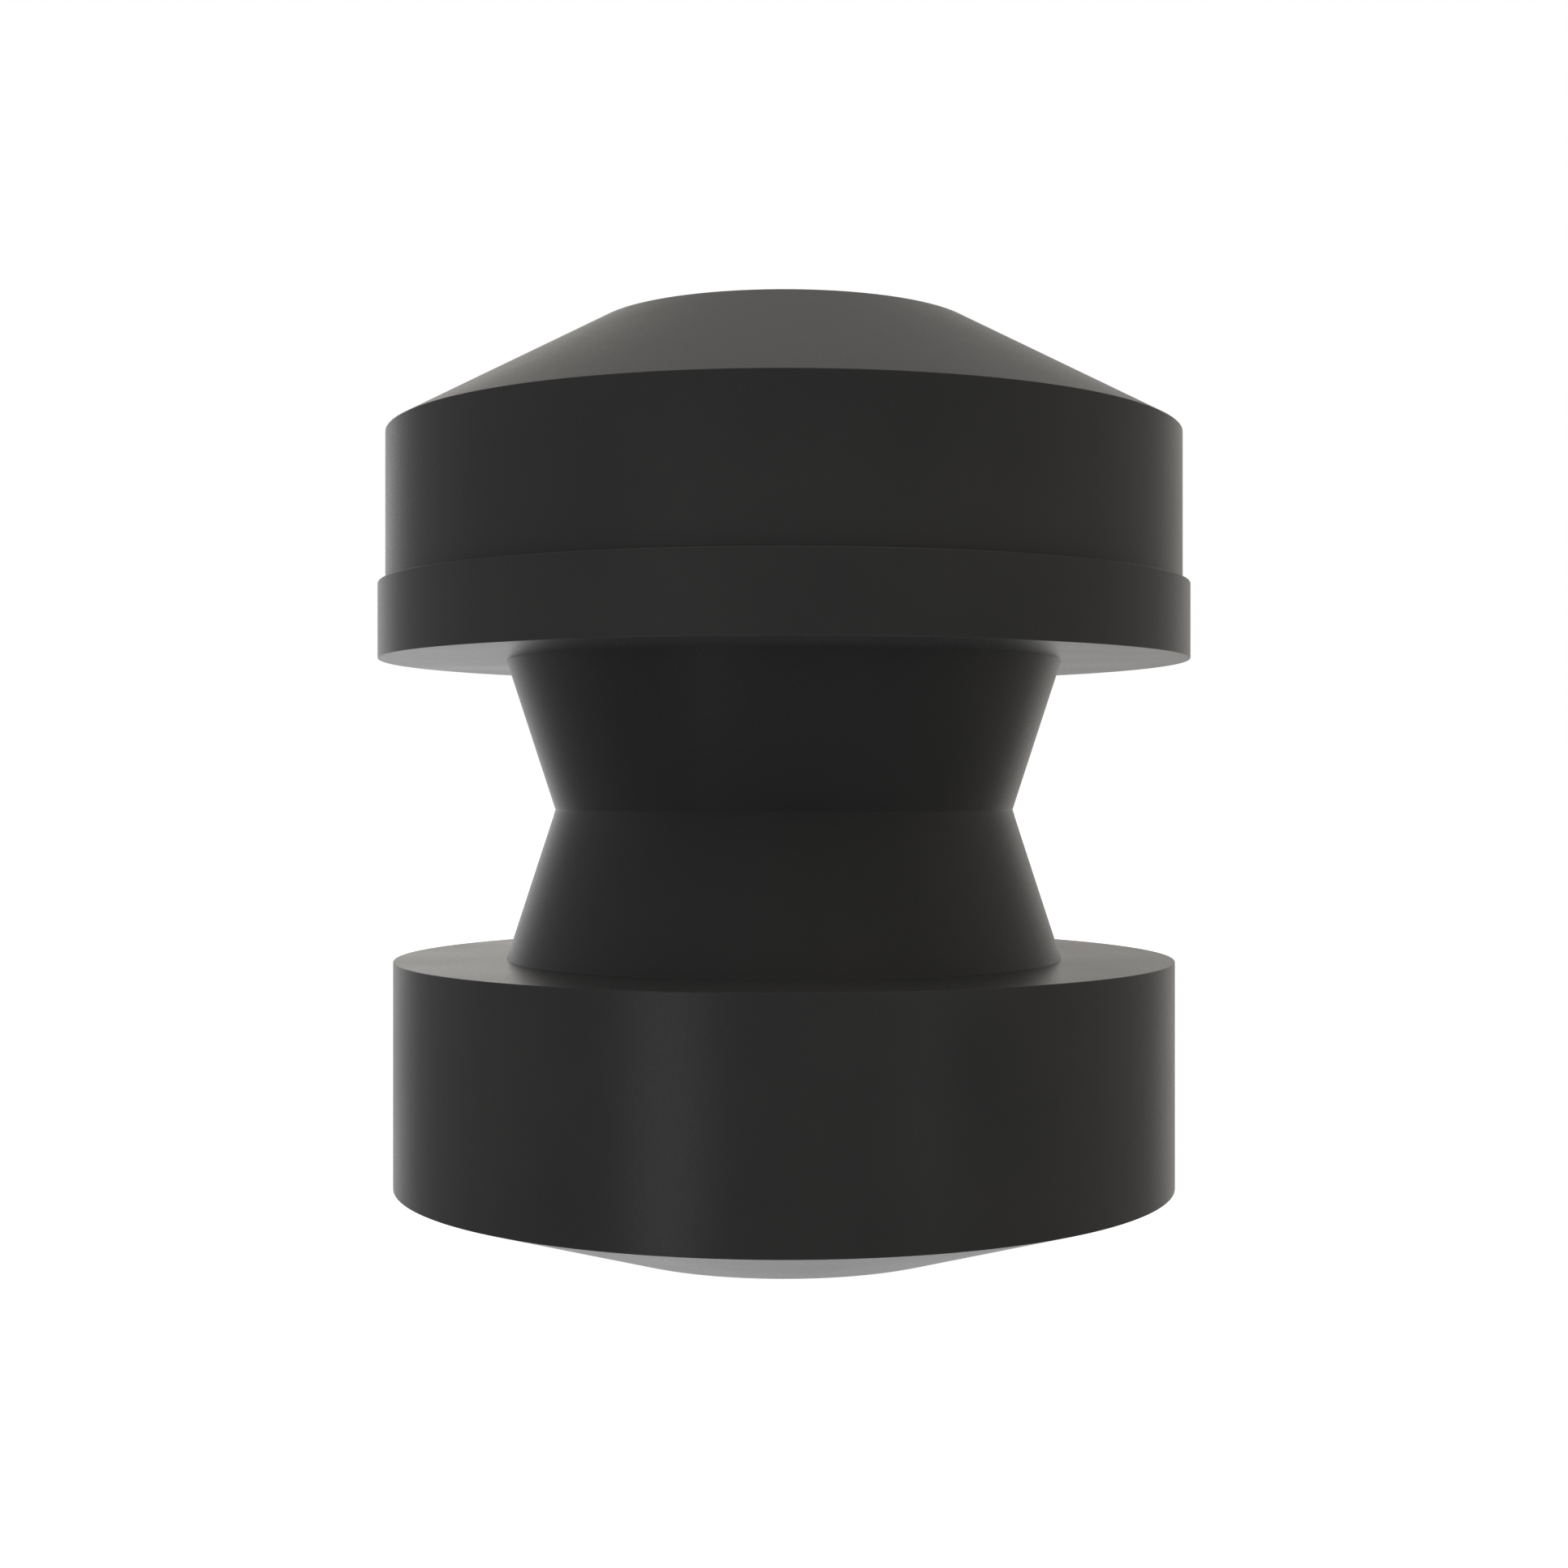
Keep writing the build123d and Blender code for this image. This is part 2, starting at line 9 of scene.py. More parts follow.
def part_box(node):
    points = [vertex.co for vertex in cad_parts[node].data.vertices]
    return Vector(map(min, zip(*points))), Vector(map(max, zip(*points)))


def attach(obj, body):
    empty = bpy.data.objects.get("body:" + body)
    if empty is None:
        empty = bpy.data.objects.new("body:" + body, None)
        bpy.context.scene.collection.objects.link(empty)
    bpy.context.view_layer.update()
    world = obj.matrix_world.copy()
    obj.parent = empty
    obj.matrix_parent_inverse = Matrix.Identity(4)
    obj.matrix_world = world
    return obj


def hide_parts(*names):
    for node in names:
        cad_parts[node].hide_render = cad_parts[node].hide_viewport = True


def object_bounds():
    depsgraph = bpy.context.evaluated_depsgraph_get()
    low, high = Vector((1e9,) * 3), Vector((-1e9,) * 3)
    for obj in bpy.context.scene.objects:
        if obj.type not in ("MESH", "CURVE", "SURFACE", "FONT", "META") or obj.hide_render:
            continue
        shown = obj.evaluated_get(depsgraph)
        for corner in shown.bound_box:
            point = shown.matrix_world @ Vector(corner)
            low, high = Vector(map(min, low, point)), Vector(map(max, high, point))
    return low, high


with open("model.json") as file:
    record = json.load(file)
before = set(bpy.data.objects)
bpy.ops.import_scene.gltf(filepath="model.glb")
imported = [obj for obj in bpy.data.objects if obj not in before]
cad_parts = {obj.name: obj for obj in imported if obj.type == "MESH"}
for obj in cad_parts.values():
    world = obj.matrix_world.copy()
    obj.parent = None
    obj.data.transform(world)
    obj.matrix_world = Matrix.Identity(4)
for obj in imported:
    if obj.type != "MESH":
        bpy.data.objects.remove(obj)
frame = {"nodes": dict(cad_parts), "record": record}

cad_low, cad_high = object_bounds()
NODES = frame["nodes"]
MIDDLE = (cad_low + cad_high) / 2
MM = 0.001


def grey(level):
    return (level, level, level, 1.0)


WHITE = grey(1.0)

# ---- the view: a 50 mm lens, level, at the post's mid height ----
LENS_MM = 50.0
SENSOR_MM = 36.0
CAMERA_DISTANCE = 0.297
CLIP_START = 0.01
CLIP_END = 20.0

# ---- the studio: a dim room round the post and a pale wall behind it ----
ROOM_LEVEL = 0.29
ROOM_LOW_LEVEL = 0.17
ROOM_HIGH_LEVEL = 0.21
WALL_LEVEL = 0.8
WALL_LOW_LEVEL = 0.78
WALL_HIGH_LEVEL = 0.28
WALL_STARTS = 0.58  # how far round towards +Y the wall begins, as the sine of the angle
WALL_FULL = 1.0
LOW_FULL = 0.5  # the sine of the angle below level at which the low level holds
HIGH_STARTS = 0.2  # and of the angles above level where the high level begins and holds
HIGH_FULL = 0.75
TENT_LEVEL = 0.9  # straight above and straight below
TENT_STARTS = 0.7
TENT_FULL = 0.95
LEFT_GAIN = 1.28  # the wall is brighter to the left of the post than to the right
RIGHT_GAIN = 0.86
GAIN_WIDTH = 0.15
WARM = (1.04, 1.0, 0.95, 1.0)
WARM_SIDE = (1.0, 0.3, 1.0)  # right, behind and above: the side of the room that is a little warmer
WARM_STARTS = 0.05
WARM_FULL = 0.35

# ---- the floor ----
FLOOR_SIZE = 8.0
FLOOR_DROP = 0.05 * MM  # below the foot, so that the two don't lie in one plane
FLOOR_SHADE = grey(0.8)
FLOOR_ROUGHNESS = 0.9
FLOOR_GLOW = 0.97

# ---- low soft lights that lay the two faint streaks on the vertical faces ----
LIGHT_DISTANCE = 0.7
LEFT_LIGHT = {"turn": -31.0, "rise": -12.0, "size": 0.26, "watts": 0.105}
RIGHT_LIGHT = {"turn": 38.0, "rise": -8.0, "size": 0.15, "watts": 0.015}

# ---- what the shaders share ----
NOISE_RANGE = (0.3, 0.7)  # where most of a noise lies
PATCH_RANGE = (0.35, 0.65)  # narrower, for patches with a clearer outline
EDGE_RANGE = (0.99, 0.85)  # the rounded normal against the true one: on a flat, and on a sharp edge
EDGE_SAMPLES = 4
# samples for the ambient-occlusion mask that lays painted shade into the coat's corners and seams
PAINTED_SHADE_SAMPLES = 6
RING_STRETCH = 0.03  # how much a ring's noise changes on its way round

# ---- the black coat: sizes and depths in millimetres, shades in linear light ----
COAT_GRAIN = 0.3
COAT_PEEL = 3.0
COAT_CLOUD = 22.0
COAT_DEPTH = 0.012
COAT_DARK = (0.035, 0.035, 0.0355, 1.0)
COAT_PALE = (0.043, 0.043, 0.0425, 1.0)
COAT_ROUGHNESS = (0.28, 0.33)
COAT_GRAIN_ROUGHNESS = 0.03
COAT_SHEEN = 0.055
COAT_SHEEN_ROUGHNESS = 0.5
SPECK_SHADE = grey(0.058)
SPECK_RANGE = (0.62, 0.75)
SPECK_SHARE = 0.5
# painted shade: a near-black coat colour laid into corners and seams by an ambient-occlusion mask, standing
# in for the shade that falls there
CREVICE_PAINTED_SHADE = grey(0.006)
PAINTED_SHADE_REACH = 3.0
PAINTED_SHADE_RANGE = (0.4, 1.0)
PAINTED_SHADE_SHARE = 0.25
WORN_SHADE = grey(0.07)
WORN_WIDTH = 0.3
WORN_PATCH = 2.5
WORN_RANGE = (0.35, 0.6)
WORN_LEAST = 0.3
WORN_SHARE = 0.35
WORN_POLISH = 0.05

# ---- the stainless steel ----
STEEL_RINGS = 0.12
STEEL_CLOUD = 6.0
STEEL_RINGS_DEPTH = 0.006
STEEL_CLOUD_DEPTH = 0.01
STEEL_DARK = (0.48, 0.48, 0.47, 1.0)
STEEL_PALE = (0.60, 0.60, 0.59, 1.0)
STEEL_ROUGHNESS = (0.22, 0.36)
DULL_SHADE = (0.38, 0.36, 0.34, 1.0)
DULL_RANGE = (0.55, 0.75)
DULL_SHARE = 0.35
DULL_ROUGH_RANGE = (0.5, 0.8)
DULL_ROUGHNESS = 0.15
BRIGHT_EDGE = (0.72, 0.72, 0.71, 1.0)
BRIGHT_EDGE_WIDTH = 0.25
BRIGHT_EDGE_SHARE = 0.5

# ---- the rubber ----
RUBBER_PITS = 0.35
RUBBER_CLOUD = 5.0
RUBBER_PITS_DEPTH = 0.02
RUBBER_CLOUD_DEPTH = 0.03
RUBBER_SHADE = grey(0.014)
RUBBER_BLOOM = (0.036, 0.036, 0.035, 1.0)
RUBBER_BLOOM_RANGE = (0.5, 0.72)
RUBBER_BLOOM_SHARE = 0.6
RUBBER_EDGE = grey(0.045)
RUBBER_EDGE_WIDTH = 0.3
RUBBER_ROUGHNESS = (0.58, 0.74)

# ---- the plastic ----
PLASTIC_GRAIN = 0.45
PLASTIC_CLOUD = 7.0
PLASTIC_GRAIN_DEPTH = 0.025
PLASTIC_CLOUD_DEPTH = 0.03
PLASTIC_DARK = (0.027, 0.027, 0.028, 1.0)
PLASTIC_PALE = grey(0.036)
PLASTIC_SCUFF = grey(0.08)
PLASTIC_SCUFF_WIDTH = 0.4
PLASTIC_SCUFF_SHARE = 0.6
PLASTIC_GRAIN_RANGE = (0.1, 0.7)
PLASTIC_ROUGHNESS = (0.45, 0.58)

# ---- threads, in millimetres: ISO proportions, crests and roots left just clear of each other ----
RISE = (0.0, 1 / 8, 7 / 16, 11 / 16)  # the four corners of one turn, as parts of the pitch
SHAPE = (1.0, 1.0, 0.0, 0.0)  # 1 where the corner is at the outer radius, 0 at the inner one
SPARE_TURNS = 2  # turned beyond each end, before the thread is cut to length
THREAD_CLEAR = 0.05
NUT_INNER_GAP = 3 * THREAD_CLEAR  # between the bolt's root and the nut's crest
NUT_OUTER_GAP = 2 * THREAD_CLEAR  # between the bolt's crest and the nut's root
BOLT_PITCH = 1.75
BOLT_THREAD_LENGTH = 30.0
BOLT_DEPTH = 1.0
BOLT_SIDES = 64
INSERT_PITCH = 1.0
INSERT_DEPTH = 0.55
INSERT_SIDES = 40
FIRST_INSERT = 45.0  # degrees from +X
SAME = 0.002  # closer than this is the same place
NEAR_BORE = 5 * SAME
SHARP_ANGLE = 25.0  # an edge between faces that meet at more than this is left sharp
LEVEL_FACE = 0.999  # a face whose normal is this near upright is a flat end, and is shaded flat


class Graph:
    """A node tree with short calls for the few kinds of node used here. Each call returns a socket."""

    def __init__(self, tree):
        self.tree = tree

    def add(self, kind, **settings):
        node = self.tree.nodes.new(kind)
        for name, value in settings.items():
            setattr(node, name, value)
        return node

    def set(self, socket, value):
        if isinstance(value, bpy.types.NodeSocket):
            self.tree.links.new(value, socket)
        else:
            socket.default_value = value

    def math(self, operation, first, second=0.0, clamp=False):
        node = self.add("ShaderNodeMath", operation=operation, use_clamp=clamp)
        self.set(node.inputs[0], first)
        self.set(node.inputs[1], second)
        return node.outputs[0]

    def distance(self, x, y):
        squares = self.math("ADD", self.math("MULTIPLY", x, x), self.math("MULTIPLY", y, y))
        return self.math("SQRT", squares)

    def dot(self, first, second):
        node = self.add("ShaderNodeVectorMath", operation="DOT_PRODUCT")
        self.set(node.inputs[0], first)
        self.set(node.inputs[1], second)
        return node.outputs["Value"]

    def parts(self, vector):
        """The x, y and z of a vector."""
        node = self.add("ShaderNodeSeparateXYZ")
        self.set(node.inputs[0], vector)
        return node.outputs

    def remap(self, value, low, high, to_low, to_high, smooth=False):
        node = self.add("ShaderNodeMapRange", interpolation_type="SMOOTHSTEP" if smooth else "LINEAR")
        for socket, setting in zip(node.inputs, (value, low, high, to_low, to_high)):
            self.set(socket, setting)
        return node.outputs[0]

    def step(self, value, low, high):
        """0 at low, 1 at high, and a soft step between."""
        return self.remap(value, low, high, 0.0, 1.0, smooth=True)

    def mix(self, factor, first, second, kind="RGBA"):
        node = self.add("ShaderNodeMix", data_type=kind)
        self.set(node.inputs["Factor"], factor)
        self.set(node.inputs["A"], first)
        self.set(node.inputs["B"], second)
        return node.outputs["Result"]

    def blend(self, factor, first, second):
        """A number between two numbers."""
        return self.mix(factor, first, second, kind="FLOAT")

    def noise(self, place, size, detail=2.0):
        """Soft noise from 0 to 1, with spots of this size in millimetres."""
        node = self.add("ShaderNodeTexNoise", noise_dimensions="3D")
        self.set(node.inputs["Vector"], place)
        node.inputs["Scale"].default_value = 1.0 / (size * MM)
        node.inputs["Detail"].default_value = detail
        return node.outputs[0]

    def speckle(self, place, size):
        """The distance to the middle of the nearest of many cells of this size in millimetres."""
        node = self.add("ShaderNodeTexVoronoi", feature="F1")
        self.set(node.inputs["Vector"], place)
        node.inputs["Scale"].default_value = 1.0 / (size * MM)
        return node.outputs["Distance"]

    def bump(self, height, depth, under=None):
        """A normal tilted by a height from 0 to 1, this deep in millimetres, laid on any earlier bump."""
        node = self.add("ShaderNodeBump")
        node.inputs["Strength"].default_value = 1.0
        node.inputs["Distance"].default_value = depth * MM
        self.set(node.inputs["Height"], height)
        if under is not None:
            self.set(node.inputs["Normal"], under)
        return node.outputs[0]

    def edges(self, width):
        """1 along sharp edges, 0 elsewhere. The width is in millimetres."""
        rounded = self.add("ShaderNodeBevel", samples=EDGE_SAMPLES)
        rounded.inputs["Radius"].default_value = width * MM
        normal = self.add("ShaderNodeNewGeometry").outputs["Normal"]
        return self.remap(self.dot(rounded.outputs[0], normal), *EDGE_RANGE, 0.0, 1.0)

    def openness(self, reach):
        """0 deep in corners and seams, 1 in the open. The reach is in millimetres."""
        node = self.add("ShaderNodeAmbientOcclusion", samples=PAINTED_SHADE_SAMPLES)
        node.inputs["Distance"].default_value = reach * MM
        return node.outputs["AO"]


def make_camera():
    data = bpy.data.cameras.new("camera")
    data.lens = LENS_MM
    data.sensor_width = SENSOR_MM
    data.clip_start = CLIP_START
    data.clip_end = CLIP_END
    camera = bpy.data.objects.new("camera", data)
    camera.location = (MIDDLE.x, MIDDLE.y - CAMERA_DISTANCE, MIDDLE.z)
    camera.rotation_euler = (math.radians(90), 0, 0)
    bpy.context.scene.collection.objects.link(camera)
    bpy.context.scene.camera = camera


def make_world():
    """White to the camera; a dim room with a pale wall behind to everything else."""
    world = bpy.data.worlds.new("studio")
    world.use_nodes = True
    world.node_tree.nodes.clear()
    g = Graph(world.node_tree)
    direction = g.add("ShaderNodeTexCoord").outputs["Generated"]
    x, y, z = g.parts(direction)
    lowness = g.step(z, 0.0, -LOW_FULL)
    highness = g.step(z, HIGH_STARTS, HIGH_FULL)
    room = g.blend(highness, g.blend(lowness, ROOM_LEVEL, ROOM_LOW_LEVEL), ROOM_HIGH_LEVEL)
    wall = g.blend(highness, g.blend(lowness, WALL_LEVEL, WALL_LOW_LEVEL), WALL_HIGH_LEVEL)
    nearness = g.step(g.math("DIVIDE", y, g.distance(x, y)), WALL_STARTS, WALL_FULL)
    steepness = g.step(g.math("ABSOLUTE", z), TENT_STARTS, TENT_FULL)
    light = g.blend(steepness, g.blend(nearness, room, wall), TENT_LEVEL)
    gain = g.remap(x, -GAIN_WIDTH, GAIN_WIDTH, LEFT_GAIN, RIGHT_GAIN, smooth=True)
    slant = g.math("ADD", highness, lowness)
    gain = g.blend(g.math("SUBTRACT", nearness, slant, clamp=True), 1.0, gain)
    warmth = g.remap(g.dot(direction, WARM_SIDE), WARM_STARTS, WARM_FULL, 0.0, 1.0)
    studio = g.add("ShaderNodeBackground")
    g.set(studio.inputs["Color"], g.mix(warmth, WHITE, WARM))
    g.set(studio.inputs["Strength"], g.math("MULTIPLY", light, gain))
    backdrop = g.add("ShaderNodeBackground")
    backdrop.inputs["Color"].default_value = WHITE
    pick = g.add("ShaderNodeMixShader")
    g.set(pick.inputs[0], g.add("ShaderNodeLightPath").outputs["Is Camera Ray"])
    g.set(pick.inputs[1], studio.outputs[0])
    g.set(pick.inputs[2], backdrop.outputs[0])
    g.set(g.add("ShaderNodeOutputWorld").inputs[0], pick.outputs[0])
    bpy.context.scene.world = world
    bpy.context.scene.view_settings.view_transform = "Standard"


def make_light(name, turn, rise, size, watts):
    """A small soft light: turn is its angle round the post from the camera, rise its angle above level."""
    data = bpy.data.lights.new(name, "AREA")
    data.shape = "DISK"
    data.size = size
    data.energy = watts
    light = bpy.data.objects.new(name, data)
    turn, rise = math.radians(turn), math.radians(rise)
    away = Vector((math.sin(turn) * math.cos(rise), -math.cos(turn) * math.cos(rise), math.sin(rise)))
    light.location = MIDDLE + away * LIGHT_DISTANCE
    light.rotation_euler = (-away).to_track_quat("-Z", "Y").to_euler()
    light.visible_camera = False
    bpy.context.scene.collection.objects.link(light)


def make_floor():
    """A pale floor that only the camera sees, so that it casts nothing on the post."""
    half = FLOOR_SIZE / 2
    mesh = bpy.data.meshes.new("floor")
    corners = [(-half, -half, 0), (half, -half, 0), (half, half, 0), (-half, half, 0)]
    mesh.from_pydata(corners, [], [(0, 1, 2, 3)])
    floor = bpy.data.objects.new("floor", mesh)
    floor.location.z = cad_low.z - FLOOR_DROP
    material = bpy.data.materials.new("pale_floor")
    material.use_nodes = True
    shader = material.node_tree.nodes["Principled BSDF"]
    shader.inputs["Base Color"].default_value = FLOOR_SHADE
    shader.inputs["Roughness"].default_value = FLOOR_ROUGHNESS
    shader.inputs["Specular IOR Level"].default_value = 0.0
    shader.inputs["Emission Color"].default_value = WHITE
    shader.inputs["Emission Strength"].default_value = FLOOR_GLOW
    mesh.materials.append(material)
    bpy.context.scene.collection.objects.link(floor)
    floor.visible_glossy = False
    floor.visible_diffuse = False
    floor.visible_shadow = False


def new_material(name):
    """A material, its graph, its shader and the place on the piece, in the post's own metres."""
    material = bpy.data.materials.new(name)
    material.use_nodes = True
    g = Graph(material.node_tree)
    place = g.add("ShaderNodeTexCoord").outputs["Object"]
    return material, g, material.node_tree.nodes["Principled BSDF"], place


def black_aluminium():
    """Machined aluminium under a satin black coat: sandy grain, a faint peel, worn edges, a dusty sheen,
    and painted shade darkening its corners and seams.
    """
    material, g, shader, place = new_material("black_aluminium")
    grain = g.noise(place, COAT_GRAIN, detail=3.0)
    peel = g.noise(place, COAT_PEEL)
    cloud = g.noise(place, COAT_CLOUD, detail=4.0)
    patches = g.remap(g.noise(place, WORN_PATCH, detail=3.0), *WORN_RANGE, WORN_LEAST, 1.0)
    worn = g.math("MULTIPLY", g.edges(WORN_WIDTH), patches)
    specks = g.remap(grain, *SPECK_RANGE, 0.0, SPECK_SHARE)
    # painted shade: the coat is darkened where ambient occlusion finds corners and seams, standing in for
    # the shade that falls there
    painted_crevice_shade = g.remap(g.openness(PAINTED_SHADE_REACH), *PAINTED_SHADE_RANGE, PAINTED_SHADE_SHARE, 0.0)
    coat = g.mix(g.remap(cloud, *PATCH_RANGE, 0.0, 1.0), COAT_DARK, COAT_PALE)
    coat = g.mix(specks, coat, SPECK_SHADE)
    coat = g.mix(painted_crevice_shade, coat, CREVICE_PAINTED_SHADE)
    coat = g.mix(g.math("MULTIPLY", worn, WORN_SHARE), coat, WORN_SHADE)
    g.set(shader.inputs["Base Color"], coat)
    rough = g.remap(cloud, *NOISE_RANGE, *COAT_ROUGHNESS)
    rough = g.math("ADD", rough, g.remap(grain, *NOISE_RANGE, -COAT_GRAIN_ROUGHNESS, COAT_GRAIN_ROUGHNESS))
    rough = g.math("SUBTRACT", rough, g.math("MULTIPLY", worn, WORN_POLISH))
    g.set(shader.inputs["Roughness"], rough)
    shader.inputs["Sheen Weight"].default_value = COAT_SHEEN
    shader.inputs["Sheen Roughness"].default_value = COAT_SHEEN_ROUGHNESS
    g.set(shader.inputs["Normal"], g.bump(grain, COAT_DEPTH, under=g.bump(peel, COAT_DEPTH)))
    return material


def round_the_axis(g, place):
    """Coordinates that run round the post's axis, so that noise on them is drawn out into turned rings."""
    x, y, z = g.parts(place)
    join = g.add("ShaderNodeCombineXYZ")
    g.set(join.inputs[0], g.math("ADD", g.distance(x, y), g.math("MULTIPLY", x, RING_STRETCH)))
    g.set(join.inputs[1], g.math("MULTIPLY", y, RING_STRETCH))
    g.set(join.inputs[2], z)
    return join.outputs[0]


def stainless():
    """Turned stainless steel: rings of tool marks, a soft sheen and a few dull spots."""
    material, g, shader, place = new_material("stainless")
    rings = g.noise(round_the_axis(g, place), STEEL_RINGS, detail=3.0)
    cloud = g.noise(place, STEEL_CLOUD, detail=4.0)
    steel = g.mix(g.remap(rings, *NOISE_RANGE, 0.0, 1.0), STEEL_DARK, STEEL_PALE)
    steel = g.mix(g.remap(cloud, *DULL_RANGE, 0.0, DULL_SHARE), steel, DULL_SHADE)
    steel = g.mix(g.math("MULTIPLY", g.edges(BRIGHT_EDGE_WIDTH), BRIGHT_EDGE_SHARE), steel, BRIGHT_EDGE)
    g.set(shader.inputs["Base Color"], steel)
    shader.inputs["Metallic"].default_value = 1.0
    rough = g.remap(rings, *NOISE_RANGE, *STEEL_ROUGHNESS)
    rough = g.math("ADD", rough, g.remap(cloud, *DULL_ROUGH_RANGE, 0.0, DULL_ROUGHNESS))
    g.set(shader.inputs["Roughness"], rough)
    under = g.bump(cloud, STEEL_CLOUD_DEPTH)
    g.set(shader.inputs["Normal"], g.bump(rings, STEEL_RINGS_DEPTH, under=under))
    return material


def seal_rubber():
    """Moulded black rubber: matt, finely pitted, with a pale bloom in patches."""
    material, g, shader, place = new_material("seal_rubber")
    pits = g.speckle(place, RUBBER_PITS)
    cloud = g.noise(place, RUBBER_CLOUD, detail=4.0)
    bloom = g.remap(cloud, *RUBBER_BLOOM_RANGE, 0.0, RUBBER_BLOOM_SHARE)
    rubber = g.mix(bloom, RUBBER_SHADE, RUBBER_BLOOM)
    g.set(shader.inputs["Base Color"], g.mix(g.edges(RUBBER_EDGE_WIDTH), rubber, RUBBER_EDGE))
    g.set(shader.inputs["Roughness"], g.remap(cloud, *NOISE_RANGE, *RUBBER_ROUGHNESS))
    under = g.bump(cloud, RUBBER_CLOUD_DEPTH)
    g.set(shader.inputs["Normal"], g.bump(pits, RUBBER_PITS_DEPTH, under=under))
    return material


def plug_plastic():
    """Moulded plastic: a spark-eroded grain, scuffed lighter along its edges."""
    material, g, shader, place = new_material("plug_plastic")
    grain = g.speckle(place, PLASTIC_GRAIN)
    cloud = g.noise(place, PLASTIC_CLOUD, detail=3.0)
    scuff = g.math("MULTIPLY", g.edges(PLASTIC_SCUFF_WIDTH), PLASTIC_SCUFF_SHARE)
    plastic = g.mix(g.remap(cloud, *PATCH_RANGE, 0.0, 1.0), PLASTIC_DARK, PLASTIC_PALE)
    g.set(shader.inputs["Base Color"], g.mix(scuff, plastic, PLASTIC_SCUFF))
    g.set(shader.inputs["Roughness"], g.remap(grain, *PLASTIC_GRAIN_RANGE, *PLASTIC_ROUGHNESS))
    under = g.bump(cloud, PLASTIC_CLOUD_DEPTH)
    g.set(shader.inputs["Normal"], g.bump(grain, PLASTIC_GRAIN_DEPTH, under=under))
    return material


def finish_cad_nodes(finishes):
    """Every CAD node takes the material that its slot in the record names."""
    for part in frame["record"]["subparts"]:
        mesh = NODES[part["node"]].data
        mesh.materials.clear()
        mesh.materials.append(finishes[part["material_slot"]])


def thread_wall(bm, low, high, start, pitch, inner_r, outer_r, sides, trim, centre=(0.0, 0.0)):
    """
    The helical surface of a right-hand thread, cut off flat at two levels and left open there.
    start is a level at which a crest begins on the +X side. trim(radius, height) turns the thread's
    own radius into the one wanted, as at a chamfered end.
    """
    corners = len(RISE)
    first = start + (math.floor((low - start) / pitch) - SPARE_TURNS) * pitch
    turns = math.ceil((high - first) / pitch) + SPARE_TURNS
    rows = []
    for row in range(turns * corners):
        turn, corner = divmod(row, corners)
        radius = inner_r + (outer_r - inner_r) * SHAPE[corner]
        line = []
        for side in range(sides):
            angle = 2 * math.pi * side / sides
            height = first + (turn + RISE[corner] + side / sides) * pitch
            wanted = trim(radius, height)
            spot = (centre[0] + wanted * math.cos(angle), centre[1] + wanted * math.sin(angle), height)
            line.append(bm.verts.new(spot))
        rows.append(line)
    for row in range(len(rows) - corners - 1):
        here, above = rows[row], rows[row + 1]
        for side in range(sides - 1):
            bm.faces.new((here[side], here[side + 1], above[side + 1], above[side]))
        bm.faces.new((here[-1], rows[row + corners][0], rows[row + corners + 1][0], above[-1]))
    made = [vertex for line in rows for vertex in line]
    cut_off(bm, made, low, above=False)
    made = [vertex for vertex in made if vertex.is_valid]
    cut_off(bm, made, high, above=True)


def cut_off(bm, vertices, level, above):
    """Cuts the mesh round these vertices at a level, and drops what is above it or below it."""
    edges = {edge for vertex in vertices for edge in vertex.link_edges}
    faces = {face for vertex in vertices for face in vertex.link_faces}
    bmesh.ops.bisect_plane(
        bm,
        geom=list(vertices) + list(edges) + list(faces),
        plane_co=(0, 0, level),
        plane_no=(0, 0, 1),
        clear_outer=above,
        clear_inner=not above,
    )


def close_at(bm, level):
    """Fills what is open at one level: a disc inside one outline, or the ring between two."""
    bmesh.ops.remove_doubles(bm, verts=bm.verts, dist=SAME)
    open_edges = [edge for edge in bm.edges if edge.is_boundary]
    rim = [edge for edge in open_edges if all(abs(v.co.z - level) < SAME for v in edge.verts)]
    bmesh.ops.triangle_fill(bm, use_beauty=True, use_dissolve=False, edges=rim, normal=(0, 0, 1))


def countersunk(low, high, mouth_r):
    """A trim for a tapped bore that opens out to a wider mouth at both its ends."""
    return lambda radius, height: max(radius, mouth_r - max(min(height - low, high - height), 0))


def cad_mesh(node):
    """A copy of a CAD node's mesh in millimetres, its split corners joined."""
    bm = bmesh.new()
    bm.from_mesh(NODES[node].data)
    bmesh.ops.scale(bm, verts=bm.verts, vec=(1 / MM, 1 / MM, 1 / MM))
    bmesh.ops.remove_doubles(bm, verts=bm.verts, dist=SAME)
    return bm


def levels(node):
    """The lowest and the highest point of a CAD node, in millimetres."""
    return [corner[2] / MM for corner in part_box(node)]


def radius_of(vertex):
    return math.hypot(vertex.co.x, vertex.co.y)


def make_piece(bm, name, node, finish):
    """A piece that stands for a CAD node on the post, smooth except along its sharp edges."""
    bmesh.ops.scale(bm, verts=bm.verts, vec=(MM, MM, MM))
    bmesh.ops.recalc_face_normals(bm, faces=bm.faces)
    mesh = bpy.data.meshes.new(name)
    bm.to_mesh(mesh)
    bm.free()
    mesh.shade_smooth()
    mesh.set_sharp_from_angle(angle=math.radians(SHARP_ANGLE))
    for face in mesh.polygons:
        if abs(face.normal.z) > LEVEL_FACE:
            face.use_smooth = False
    mesh.materials.append(finish)
    piece = bpy.data.objects.new(name, mesh)
    bpy.context.scene.collection.objects.link(piece)
    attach(piece, "post")
    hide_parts(node)


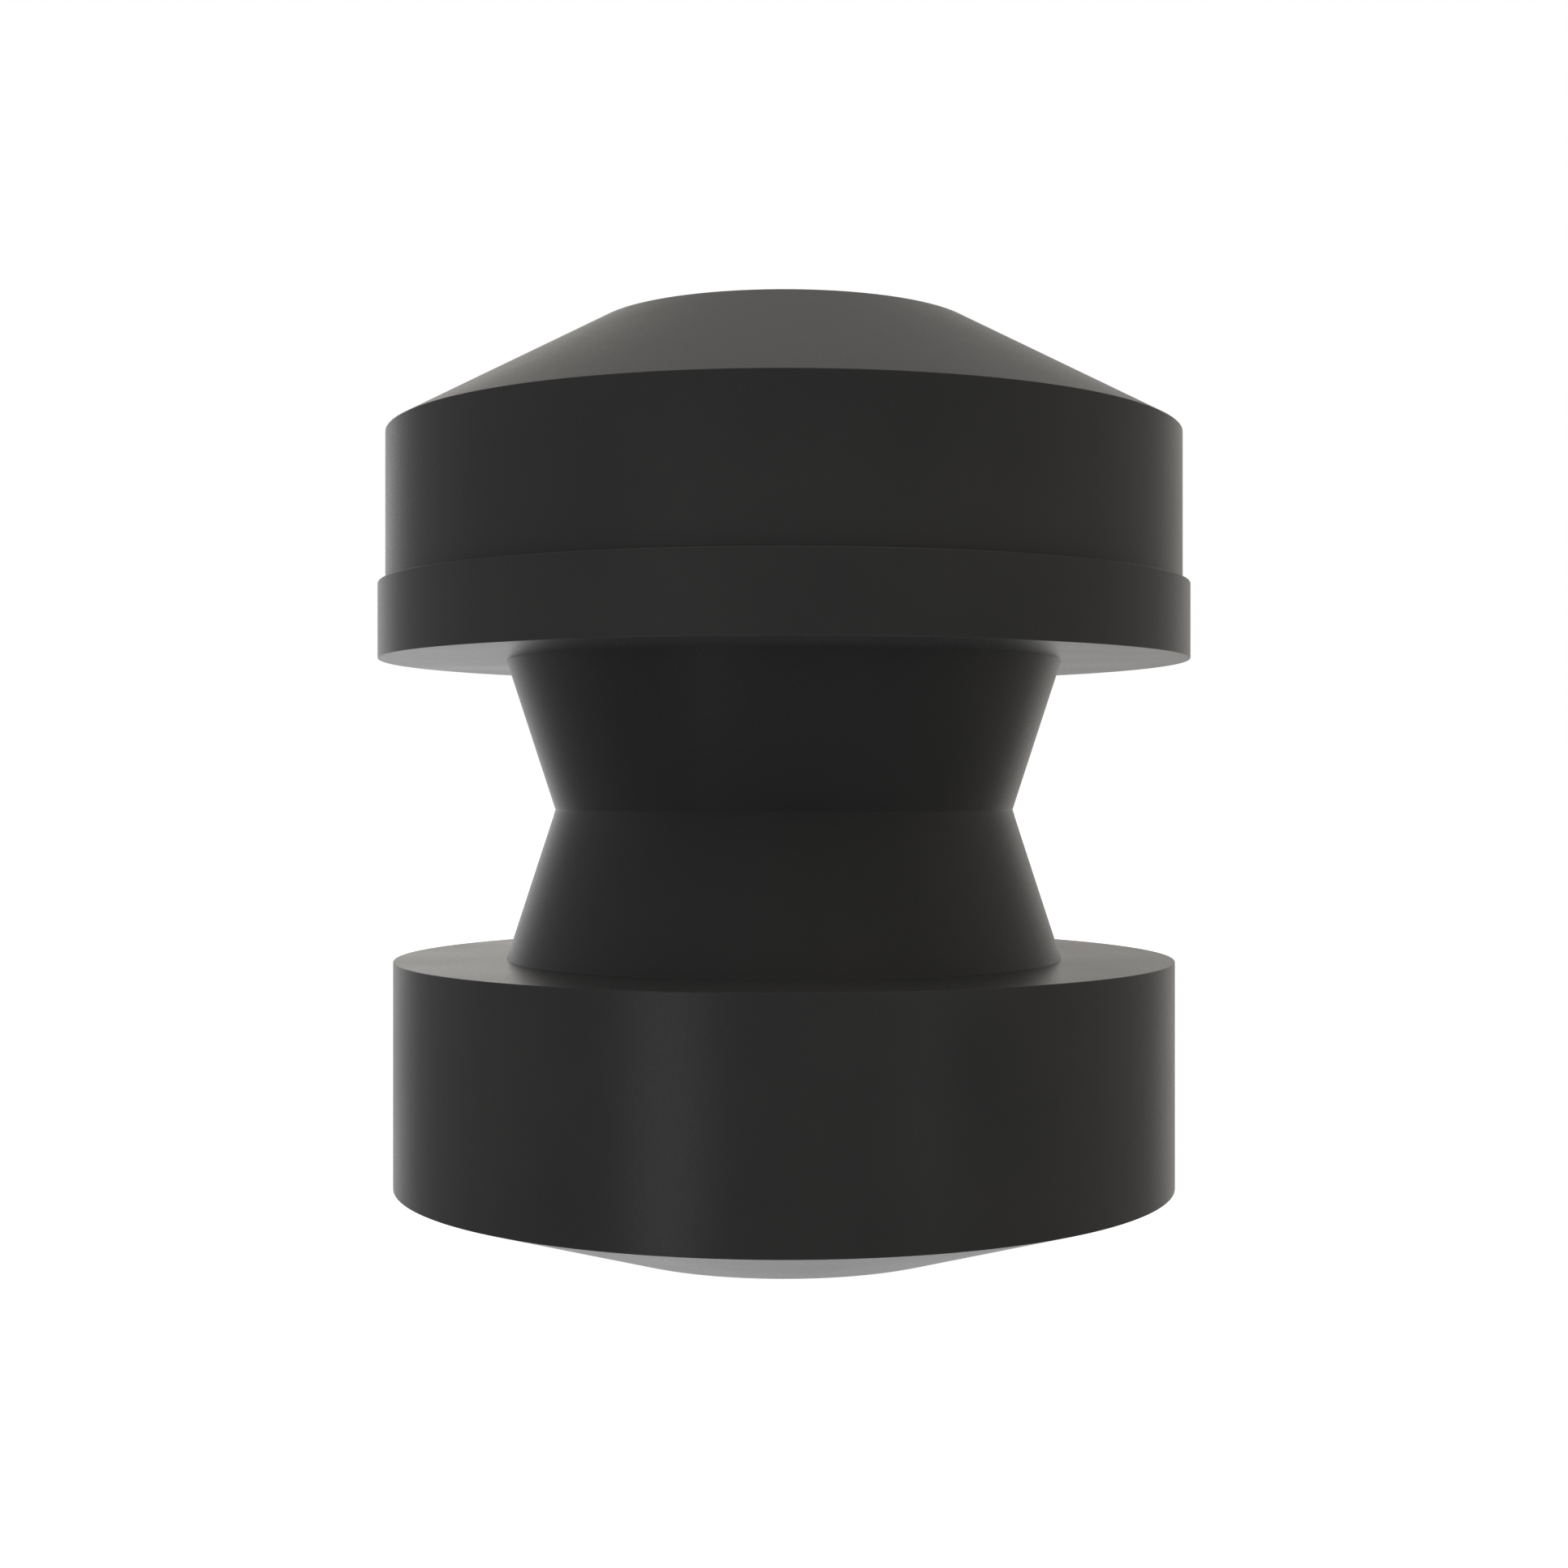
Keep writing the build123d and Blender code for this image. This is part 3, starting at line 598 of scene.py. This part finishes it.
def make_bolt_and_nut(finish):
    """The through bolt with a rolled thread over its last stretch, and the nut that runs on it."""
    bolt = cad_mesh("tie_bolt")
    end = levels("tie_bolt")[1]
    start = end - BOLT_THREAD_LENGTH
    shank_r = max(radius_of(v) for v in bolt.verts if v.co.z > start)
    crest_r = shank_r - THREAD_CLEAR
    root_r = shank_r - BOLT_DEPTH
    cut_off(bolt, list(bolt.verts), start, above=True)
    thread_wall(
        bolt, start, end, start, BOLT_PITCH, root_r, crest_r, BOLT_SIDES,
        trim=lambda radius, height: min(radius, root_r + max(end - height, 0)),
    )
    close_at(bolt, start)
    close_at(bolt, end)
    make_piece(bolt, "threaded_tie_bolt", "tie_bolt", finish)

    nut = cad_mesh("tie_nut")
    low, high = levels("tie_nut")
    bore_r = min(radius_of(v) for v in nut.verts)
    bore = [face for face in nut.faces if all(radius_of(v) - bore_r < NEAR_BORE for v in face.verts)]
    bmesh.ops.delete(nut, geom=bore, context="FACES")
    mouth_r = crest_r + NUT_OUTER_GAP
    thread_wall(
        nut, low, high, start, BOLT_PITCH, root_r + NUT_INNER_GAP, mouth_r, BOLT_SIDES,
        trim=countersunk(low, high, mouth_r),
    )
    close_at(nut, low)
    close_at(nut, high)
    make_piece(nut, "threaded_tie_nut", "tie_nut", finish)


def make_inserts(finish):
    """The four deck inserts: bushes with a tapped bore, countersunk at both ends."""
    low, high = levels("deck_inserts")
    bolts = next(mount for mount in frame["record"]["mounts"] if mount["name"] == "deck_bolts")["dims"]
    circle_r = bolts["pcd_mm"] / 2
    bore_r = bolts["hole_r_mm"]
    outer_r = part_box("deck_inserts")[1].x / MM - circle_r * math.cos(math.radians(FIRST_INSERT))
    mouth_r = bore_r + INSERT_DEPTH
    inserts = bmesh.new()
    for number in range(bolts["count"]):
        angle = math.radians(FIRST_INSERT) + 2 * math.pi * number / bolts["count"]
        centre = (circle_r * math.cos(angle), circle_r * math.sin(angle))
        thread_wall(
            inserts, low, high, low, INSERT_PITCH, bore_r, mouth_r, INSERT_SIDES,
            trim=countersunk(low, high, mouth_r), centre=centre,
        )
        bmesh.ops.create_cone(
            inserts,
            cap_ends=False,
            segments=INSERT_SIDES,
            radius1=outer_r,
            radius2=outer_r,
            depth=high - low,
            matrix=Matrix.Translation((*centre, (low + high) / 2)),
        )
    close_at(inserts, low)
    close_at(inserts, high)
    make_piece(inserts, "tapped_deck_inserts", "deck_inserts", finish)


make_camera()
make_world()
make_light("left_light", **LEFT_LIGHT)
make_light("right_light", **RIGHT_LIGHT)
make_floor()
FINISHES = {make.__name__: make() for make in (black_aluminium, stainless, seal_rubber, plug_plastic)}
finish_cad_nodes(FINISHES)
make_bolt_and_nut(FINISHES["stainless"])
make_inserts(FINISHES["stainless"])
